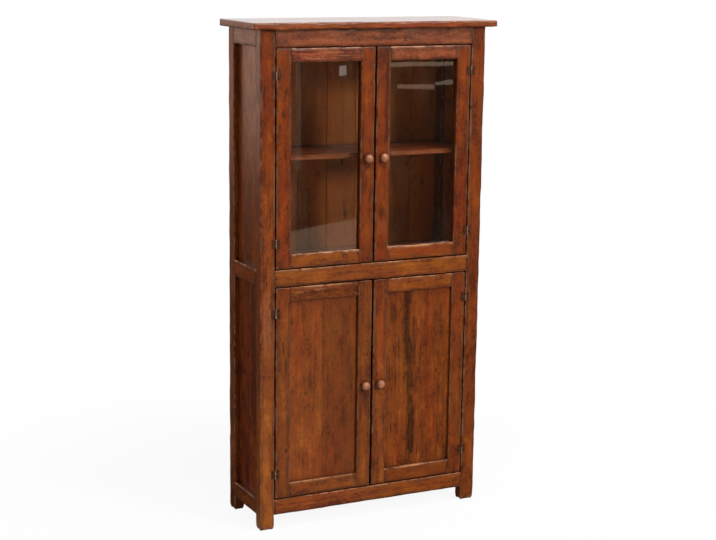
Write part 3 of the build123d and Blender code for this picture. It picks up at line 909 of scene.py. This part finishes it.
def hewnRails():
    half, front, back = carcase["halfWidth"], carcase["front"], carcase["back"]
    ease, hidden = carcase["railEase"], carcase["hiddenEase"]
    shoulders = (shoulder(), shoulder())
    opening = half - carcase["frontPost"][0]
    bay = (front + carcase["frontPost"][1], back - carcase["backPost"][1])
    for word, level in carcase["levels"].items():
        corners = boxCorners((front, front + carcase["frontRail"]), level, (ease, hidden, hidden, ease))
        deep = carcase["frontRailDepth"]
        hewnBoard(f"front_{word}_rail", corners, (-opening, opening), shoulders, depth=deep)
        for hand, side in sides.items():
            across = (side * half, side * (half - carcase["sideRail"]))
            eases = (ease, ease, hidden, hidden) if side < 0 else (hidden, hidden, ease, ease)
            hewnBoard(f"{hand}_{word}_rail", boxCorners(level, across, eases), bay, shoulders)


hewnPosts()
hewnRails()
print("posts and rails worked")

# the top, overhanging the front and both sides

topBoard = {
    "half": (470.5, 159.5),
    "levels": (1775.0, 1800.0),
    "eases": (4.5, 3.0, 4.0, 7.0),  # front lower, back lower, back upper, front upper arris
    "endRadius": 3.2,
    "depth": 4.0,
    "frontEdge": -136.0,  # behind this the underside is flat
    "fade": 12.0,
    "skin": 2.0,  # what counts as on a face
    "above": (0.75, 0.2),  # what the front edge loses on top, and the share of the rest of the top
}


def topDepth(place, y, z):
    # full depth along the front edge, less on top and at the back, none on the underside over the carcase
    low, high = topBoard["levels"]
    skin = topBoard["skin"]
    loss, rest = topBoard["above"]
    rim = np.clip((topBoard["frontEdge"] - y) / topBoard["fade"], 0, 1)
    above = np.clip((z - low - skin) / (high - low - 2 * skin), 0, 1)
    return np.maximum(rim * (1 - loss * above), rest * above)


halfLength, halfDepth = topBoard["half"]
hewnBoard(
    "top_board",
    boxCorners((-halfDepth, halfDepth), topBoard["levels"], topBoard["eases"]),
    (-halfLength, halfLength),
    [wornEnd(topBoard["endRadius"])] * 2,
    depth=topBoard["depth"],
    depthAt=topDepth,
)
print("top board worked")

# door frames; distances to the side are from the cabinet's middle

doors = {
    "edges": (3.5, 378.5),
    "sight": (57.5, 324.5),
    "face": -132.5,
    "thickness": 28.0,
    "glassFace": -117.5,
    "rebate": 8.0,
    "hair": 0.01,  # keeps the two rings of the rebate's step apart
    "ease": 3.0,
    "backEase": 1.2,
    "sightEase": 2.2,
    "endRadius": 3.2,
    "railDepth": 1.2,
    "levels": {"upper": (949.5, 1712.5), "lower": (113.5, 882.5)},
    "rails": {"upper": (49.0, 49.0), "lower": (54.0, 52.0)},  # bottom and top
}


def frameCorners(outer, sight, glazed):
    # section of a stile across its grain: outer edge, back, sight edge with its rebate, and face
    face, rear = doors["face"], doors["face"] + doors["thickness"]
    corners = [(outer, face, doors["ease"]), (outer, rear, doors["backEase"])]
    if glazed:
        glass, into = doors["glassFace"], math.copysign(doors["rebate"], outer - sight)
        corners += [(sight, y, 0, into, 0, 1) for y in (rear, glass + doors["hair"])]
        corners.append((sight, glass, 0, 0, 0, 1))
    else:
        corners.append((sight, rear, doors["backEase"]))
    corners.append((sight, face, doors["sightEase"]))
    return cornerRows(corners)


def hewnDoor(tier, hand, side):
    place, glazed = f"{tier}_{hand}", tier == "upper"
    body = f"{place}_door"
    low, high = doors["levels"][tier]
    bottomRail, topRail = doors["rails"][tier]
    sight = (low + bottomRail, high - topRail)
    housing = (sight[0] - doors["rebate"], sight[1] + doors["rebate"]) if glazed else None
    innerEdge, outerEdge = doors["edges"]
    innerSight, outerSight = doors["sight"]
    ends = [wornEnd(doors["endRadius"])] * 2
    stiles = {
        "hinge": (outerEdge, outerSight, hingeHeights[tier]),
        "meeting": (innerEdge, innerSight, (knobHeights[tier],)),
    }
    for word, (outer, inner, spots) in stiles.items():
        corners = frameCorners(side * outer, side * inner, glazed)
        spots = [z / millimetre for z in spots]
        hewnBoard(f"{place}_{word}_stile", corners, (low, high), ends, body, housing, spots=spots)
    span = sorted((side * innerSight, side * outerSight))
    for edge, out, inner in (("bottom", low, sight[0]), ("top", high, sight[1])):
        # the same section with its two coordinates changed over
        corners = frameCorners(out, inner, glazed)[:, [1, 0, 2, 4, 3, 5]]
        hewnBoard(f"{place}_{edge}_rail", corners, span, [shoulder()] * 2, body, depth=doors["railDepth"])


for tier, hand, side in doorPlaces:
    hewnDoor(tier, hand, side)
print("door frames worked")

# hinges: iron under the same dark stain, pale on the knuckles from wearing and as a painted highlight

hingeMetal = {
    "colour": (0.070, 0.021, 0.006, 1),
    "rubAndGlint": (0.34, 0.17, 0.085, 1),
    "tarnish": (0.022, 0.007, 0.003, 1),
    "roughness": (0.50, 0.70),
    "metallic": 0.15,
    "specular": 0.22,
    "bump": (0.35, 0.0002),  # strength and distance
    "stain": ((140.0, 140.0, 140.0), 4.0),  # cycles per metre and detail
    "speck": ((900.0, 900.0, 900.0), 2.0),
    "knuckles": (-0.1353, -0.1378),  # y where rubbing starts, and where it is full
    "rubAndGlintShare": 0.75,
    "rubPolish": 0.10,
}


def agedMetal(name):
    material = newMaterial(name)
    position, axes = onObject()
    stain = cloud(position, *hingeMetal["stain"])
    # knuckles stand furthest out from the wood; their pale colour is partly from wearing, partly a painted
    # highlight
    wornAndLit = times(ramp(axes[1], *hingeMetal["knuckles"]), ramp(stain, 0.38, 0.56))
    colour = blendColour(ramp(stain, 0.42, 0.62), hingeMetal["colour"], hingeMetal["tarnish"])
    colour = blendColour(times(wornAndLit, hingeMetal["rubAndGlintShare"]), colour, hingeMetal["rubAndGlint"])
    rough = ramp(stain, 0.35, 0.7, *hingeMetal["roughness"])
    given = {
        "Base Color": colour,
        "Roughness": timesPlus(wornAndLit, -hingeMetal["rubPolish"], rough),
        "Normal": bumped(*hingeMetal["bump"], cloud(position, *hingeMetal["speck"])),
        "Metallic": hingeMetal["metallic"],
        "Specular IOR Level": hingeMetal["specular"],
    }
    surface(node("BsdfPrincipled", given)[0])
    return material


metal = agedMetal("hingeMetal")
leafNodes = ["post_hinge_leaves"] + [f"{tier}_{hand}_hinge_leaves" for tier, hand, side in doorPlaces]
for name in leafNodes:
    dress(name, metal)
print("metal:", len(leafNodes), "leaf sets")

# panes

pane = {
    "tint": (0.958, 0.954, 0.945, 1),  # what one face lets through
    "squareOn": 0.045,  # what one face mirrors when looked at squarely
    "roughness": 0.012,
    "waves": ((7.0, 7.0, 3.0), 1.0),  # cycles per metre and detail
    "bump": (0.10, 0.0010),  # strength and distance
    "smears": ((14.0, 14.0, 5.0), 4.0),
    "smearColour": (0.55, 0.48, 0.40, 1),
    "dust": (0.001, 0.010),  # least and most share of it
}


def paneMaterial(name):
    # clear where looked through, a mirror by the angle, with slight drawn waves and smears of dust
    material = newMaterial(name)
    position = node("TexCoord")["Object"]
    bump = bumped(*pane["bump"], cloud(position, *pane["waves"]))
    clear = node("BsdfTransparent", {"Color": pane["tint"]})[0]
    given = {"Color": (1, 1, 1, 1), "Roughness": pane["roughness"], "Normal": bump}
    mirror = node("BsdfGlossy", given)[0]
    # Schlick's rule, square on + (1 - square on) slope^5, which mirrors alike on the way in and out
    slope = node("LayerWeight", {"Blend": 0.5, "Normal": bump})["Facing"]
    squareOn = pane["squareOn"]
    angle = timesPlus(number("POWER", slope, 5.0), 1 - squareOn, squareOn)
    glass = mixShaders(angle, clear, mirror)
    smears = ramp(cloud(position, *pane["smears"]), 0.45, 0.80, *pane["dust"])
    dust = node("BsdfDiffuse", {"Color": pane["smearColour"]})[0]
    surface(mixShaders(smears, glass, dust))
    return material


paneGlass = paneMaterial("paneGlass")
for hand in sides:
    dress(f"upper_{hand}_glass", paneGlass)
print("panes set")

# turned knobs, in millimetres

knob = {
    "front": -132.5,
    "offset": 30.5,
    # radius and height above the stile
    "profile": (
        *((8.6, -1.0), (8.0, 1.0), (7.2, 3.5), (7.8, 6.0), (11.2, 8.2), (14.0, 10.8)),
        *((14.9, 14.4), (14.1, 18.2), (11.9, 22.0), (8.2, 24.7), (4.2, 25.9), (0.4, 26.0)),
    ),
    "around": 48,
    "between": 5,
    "light": (0.46, 0.19, 0.095, 1),
    "middle": (0.31, 0.110, 0.050, 1),
    "dark": (0.14, 0.040, 0.016, 1),
    "neck": (0.045, 0.014, 0.006, 1),
    "neckDarkening": (12.0, 3.0),  # heights where the darkening starts and where it is full
    "fibre": ((260.0, 260.0, 45.0), 4.0, 0.6),  # cycles per metre, detail and roughness
    "patch": ((55.0, 55.0, 40.0), 3.0),
    "roughness": (0.46, 0.34),
    "bump": (0.2, 0.0002),
    "coat": (0.25, 0.2),  # weight and roughness
}


def smoothLine(knots, between):
    # Catmull-Rom curve: each span is a cubic through its two knots, its slopes taken from their neighbours
    knots = np.asarray(knots, float)
    padded = np.vstack([2 * knots[0] - knots[1], knots, 2 * knots[-1] - knots[-2]])
    t = np.linspace(0, 1, between, endpoint=False)[None, :, None]
    a, b, c, d = (padded[i : len(padded) - 3 + i, None, :] for i in range(4))
    curve = 0.5 * (2 * b + (c - a) * t + (2 * a - 5 * b + 4 * c - d) * t**2 + (3 * b - a - 3 * c + d) * t**3)
    return np.vstack([curve.reshape(-1, knots.shape[1]), knots[-1:]])


def turned(profile, around):
    # each profile row (radius, height) makes a ring: x = r cos a, z = r sin a, y = -height
    angle = np.linspace(0, 2 * math.pi, around, endpoint=False)
    radius, height = profile[:, :1], profile[:, 1:]
    points = np.stack([radius * np.cos(angle), -height + 0 * angle, radius * np.sin(angle)], -1)
    return points.reshape(-1, 3), tubeFaces(len(profile), around)


def knobMaterial(name):
    # handled close-grained wood: fine upright fibre, paler crown, darker round the neck
    material = newMaterial(name)
    position, axes = onObject()
    fibre = cloud(position, *knob["fibre"])
    patch = cloud(position, *knob["patch"])
    tone = plus(times(fibre, 0.5), times(patch, 0.5))
    colour = blendColour(ramp(tone, 0.32, 0.52), knob["dark"], knob["middle"])
    colour = blendColour(ramp(tone, 0.48, 0.66), colour, knob["light"])
    neck = ramp(axes[1], *[(knob["front"] - height) * millimetre for height in knob["neckDarkening"]])
    given = {
        "Base Color": blendColour(times(neck, 0.8), colour, knob["neck"]),
        "Roughness": ramp(tone, 0.3, 0.7, *knob["roughness"]),
        "Normal": bumped(*knob["bump"], fibre),
        "Coat Weight": knob["coat"][0],
        "Coat Roughness": knob["coat"][1],
    }
    surface(node("BsdfPrincipled", given)[0])
    return material


knobWood = knobMaterial("knobWood")
knobShape, knobFaces = turned(smoothLine(knob["profile"], knob["between"]), knob["around"])
for tier, hand, side in doorPlaces:
    centre = np.array([side * knob["offset"], knob["front"], knobHeights[tier] / millimetre])
    made = meshObject(f"{tier}_{hand}_knob", (knobShape + centre) * millimetre, knobFaces, knobWood)
    smoothed(made)
    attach(made, f"{tier}_{hand}_door")
print("knobs: 4")

# slotted screws in the hinge leaves, in millimetres

screw = {
    "pinX": 380.5,
    "away": 9.0,  # from the pin's line
    "up": 10.5,  # above and below the hinge's middle
    "plate": -134.0,
    "radius": 2.6,
    "dome": 0.75,
    "fall": 0.85,  # share of the dome's ball that the head shows
    "sunk": 0.25,  # how far the head's back lies under the plate's face
    "slotHalfWidth": 0.42,
    "slotDepth": 0.55,
    "grid": 17,
    "turns": (0.4, 1.9),  # angle of the first slot, and from each to the next
}


def screwHead():
    # Slotted dome on a square grid bent to a disc: u, v in -1..1 map to x = u sqrt(1 - v^2/2) and
    # z = v sqrt(1 - u^2/2); height = dome sqrt(1 - fall r^2), less the slot where |x| is small.
    count = screw["grid"]
    line = np.linspace(-1, 1, count)
    u, v = np.meshgrid(line, line, indexing="ij")
    x, z = u * np.sqrt(1 - v**2 / 2), v * np.sqrt(1 - u**2 / 2)
    height = screw["dome"] * np.sqrt(np.clip(1 - screw["fall"] * (x**2 + z**2), 0, 1))
    slotted = np.abs(x * screw["radius"]) < screw["slotHalfWidth"]
    height = np.where(slotted, height - screw["slotDepth"], height)
    top = np.stack([x * screw["radius"], -height, z * screw["radius"]], -1).reshape(-1, 3)
    under = top * [1, 0, 1] + [0, screw["sunk"], 0]
    run = np.arange(count - 1)
    i, j = np.meshgrid(run, run, indexing="ij")
    quads = [i * count + j, (i + 1) * count + j, (i + 1) * count + j + 1, i * count + j + 1]
    quads = np.stack(quads, -1).reshape(-1, 4)
    last = count - 1
    rim = np.concatenate([run * count, last * count + run, run[::-1] * count + count + last, run[::-1] + 1])
    after = np.roll(rim, -1)
    size = count * count
    wall = np.stack([after, rim, rim + size, after + size], -1)
    return np.vstack([top, under]), np.vstack([quads, quads[:, ::-1] + size, wall])


def screwSet(name, places, body):
    # the same head at each place, turned by its own angle a about Y: x' = x cos a + z sin a and
    # z' = z cos a - x sin a
    shape, faces = screwHead()
    order = np.arange(len(places))[:, None]
    first, step = screw["turns"]
    turns = first + step * order
    x, y, z = shape.T[:, None, :]
    spun = [x * np.cos(turns) + z * np.sin(turns), y + 0 * turns, z * np.cos(turns) - x * np.sin(turns)]
    points = (np.stack(spun, -1) + np.array(places)[:, None, :]).reshape(-1, 3) * millimetre
    allFaces = (faces[None] + order[..., None] * len(shape)).reshape(-1, 4)
    made = meshObject(name, points, allFaces.tolist(), metal)
    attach(made, body)


postScrews = []
for tier, hand, side in doorPlaces:
    pinX, away, plate = side * screw["pinX"], side * screw["away"], screw["plate"]
    rows = [z / millimetre + step for z in hingeHeights[tier] for step in (-screw["up"], screw["up"])]
    postScrews += [(pinX + away, plate, z) for z in rows]
    doorScrews = [(pinX - away, plate, z) for z in rows]
    screwSet(f"{tier}_{hand}_door_screws", doorScrews, f"{tier}_{hand}_door")
screwSet("post_hinge_screws", postScrews, "cabinet")
print("screws: 32")

# floor, what shiny surfaces see, lamps and camera

studio = {
    "floorHalf": 30.0,
    "floorWhite": (0.93, 0.93, 0.93, 1),
    "floorGlow": (0.92, 1.0),  # share of plain white that the camera sees, under the shadow and far off
    "glowReach": (0.7, 2.2),
    "paperColour": (1.0, 0.78, 0.58, 1),
    "paperShine": 0.62,  # the pale sheet in front, as panes and polish see it
    # its two edges on the floor, a x + b y + c = 0
    "paperAhead": (0.43, 0.90, 4.146),
    "paperBeside": (-0.894, -0.447, -0.018),
    "ambient": 0.46,
    "roomShine": 0.04,  # the dim room behind the camera
    "backShine": 1.0,
    "shineColour": (1.0, 0.80, 0.62, 1),
}


def besideLine(axes, line):
    # a x + b y + c, which is above 0 on one side of the line
    a, b, c = line
    return timesPlus(axes[0], a, timesPlus(axes[1], b, c))


def floorMaterial(name):
    material = newMaterial(name)
    path = node("LightPath")
    position, axes = onObject()
    diffuse = node("BsdfDiffuse", {"Color": studio["floorWhite"]})[0]
    white = node("Emission", {"Color": (1, 1, 1, 1), "Strength": 1.0})[0]
    away = node("VectorMath", {0: position}, operation="LENGTH")["Value"]
    glow = ramp(away, *studio["glowReach"], *studio["floorGlow"])
    seen = mixShaders(glow, diffuse, white)
    # the sheet of paper: in front of the object, up to a line short of the camera and one to its right
    ahead = ramp(besideLine(axes, studio["paperAhead"]), -0.02, 0.06)
    beside = ramp(besideLine(axes, studio["paperBeside"]), -0.03, 0.05)
    sheet = times(times(ahead, beside), ramp(axes[1], 0.2, -0.4))
    level = timesPlus(sheet, studio["paperShine"], studio["roomShine"])
    shine = node("Emission", {"Color": studio["paperColour"], "Strength": level})[0]
    plain = mixShaders(path["Is Glossy Ray"], diffuse, shine)
    direct = larger(path["Is Camera Ray"], path["Is Transmission Ray"])
    surface(mixShaders(direct, plain, seen))
    return material


def sheetObject(name, corners, material):
    made = meshObject(name, np.array(corners, float), [[0, 1, 2, 3]], material)
    return made


half = studio["floorHalf"]
floorCorners = [(-half, -half, 0), (half, -half, 0), (half, half, 0), (-half, half, 0)]
sheetObject("studio_floor", floorCorners, floorMaterial("studioFloor"))

# cards that only shine in gloss: corners, colour, level and the heights over which they fade in
cards = {
    "pale_wall_left": (
        ((-7.5, 3.0, 0.0), (-1.6, 7.5, 0.0), (-1.6, 7.5, 3.6), (-7.5, 3.0, 3.6)),
        (1.0, 0.66, 0.52, 1),
        1.9,
        (0.05, 0.95),
    ),
}

# bright things in the room, all in one upright plane: corners as x and z, colour and level
roomPlane = -6.5
roomLights = {
    "lamp_left": (((2.910, 1.028), (2.982, 1.034), (2.974, 1.110), (2.914, 1.104)), (1, 0.88, 0.78, 1), 1.8),
    "window_top": (((3.30, 1.087), (4.02, 1.087), (4.02, 1.118), (3.30, 1.122)), (1, 0.76, 0.54, 1), 1.1),
    "window_left": (((3.44, 0.915), (3.76, 0.900), (3.76, 0.940), (3.44, 0.946)), (1, 0.66, 0.50, 1), 1.1),
    "window_right": (((3.77, 0.935), (3.99, 0.935), (3.99, 0.985), (3.77, 0.955)), (1, 0.80, 0.62, 1), 1.0),
    "window_post": (((2.548, 0.30), (2.590, 0.30), (2.590, 1.15), (2.548, 1.15)), (1, 0.95, 0.75, 1), 0.26),
}
for name, (corners, colour, level) in roomLights.items():
    cards[name] = ([(x, roomPlane, z) for x, z in corners], colour, level, None)


def cardMaterial(name, colour, level, fade):
    material = newMaterial(name)
    if fade:
        level = ramp(onObject()[1][2], *fade, 0.0, level)
    light = node("Emission", {"Color": colour, "Strength": level})[0]
    surface(light)
    return material


for name, (corners, colour, level, fade) in cards.items():
    card = sheetObject(name, corners, cardMaterial(name, colour, level, fade))
    card.visible_camera = False
    card.visible_diffuse = False
    card.visible_transmission = False
    card.visible_shadow = False


def roomWorld():
    # white to the camera; a soft grey light on the object; in gloss a dim room in front and a pale one behind
    world = bpy.data.worlds.new("studio")
    bpy.context.scene.world = world
    world.use_nodes = True
    openTree(world.node_tree)
    path = node("LightPath")
    direction = node("TexCoord")["Generated"]
    backward = node("SeparateXYZ", {0: direction})[1]
    shine = ramp(backward, 0.0, 0.35, studio["roomShine"], studio["backShine"])
    direct = larger(path["Is Camera Ray"], path["Is Transmission Ray"])
    soft = times(minus(1.0, path["Is Glossy Ray"]), studio["ambient"])
    level = plus(soft, times(path["Is Glossy Ray"], shine))
    level = larger(level, direct)
    warm = times(path["Is Glossy Ray"], ramp(backward, 0.35, 0.0))
    colour = blendColour(warm, (1, 1, 1, 1), studio["shineColour"])
    background = node("Background", {"Color": colour, "Strength": level})
    node("OutputWorld", {"Surface": background[0]})


roomWorld()

lamps = {
    # place, aimed at, width, height, watts, colour
    "key": ((3.86, -7.26, 4.66), (0, 0, 1.0), 2.0, 2.0, 440.0, (1.0, 0.985, 0.96)),
    "overhead": ((0.2, -1.3, 3.9), (0, 0.1, 1.2), 2.2, 1.2, 60.0, (1.0, 1.0, 1.0)),
}
for name, (place, aim, width, height, watts, colour) in lamps.items():
    data = bpy.data.lights.new(name, "AREA")
    data.shape = "RECTANGLE"
    data.size, data.size_y = width, height
    data.energy = watts
    data.color = colour
    lamp = bpy.data.objects.new(name, data)
    lamp.location = place
    lamp.rotation_mode = "QUATERNION"
    lamp.rotation_quaternion = (Vector(aim) - Vector(place)).to_track_quat("-Z", "Y")
    bpy.context.scene.collection.objects.link(lamp)
print("floor, cards, world and lamps set")

view = {
    "place": (-2.5652, -5.1919, 2.0778),
    "yaw": 26.3275,  # degrees
    "pitch": -11.5488,
    "roll": 0.7511,
    "lens": 81.42,
    "sensor": 36.0,
}
cameraData = bpy.data.cameras.new("camera")
cameraData.lens = view["lens"]
cameraData.sensor_width = view["sensor"]
camera = bpy.data.objects.new("camera", cameraData)
camera.location = view["place"]
camera.rotation_mode = "QUATERNION"
aimed = Euler((math.radians(90 + view["pitch"]), 0, math.radians(-view["yaw"]))).to_quaternion()
camera.rotation_quaternion = aimed @ Quaternion((0, 0, 1), math.radians(view["roll"]))
bpy.context.scene.collection.objects.link(camera)
bpy.context.scene.camera = camera
bpy.context.scene.view_settings.view_transform = "Standard"
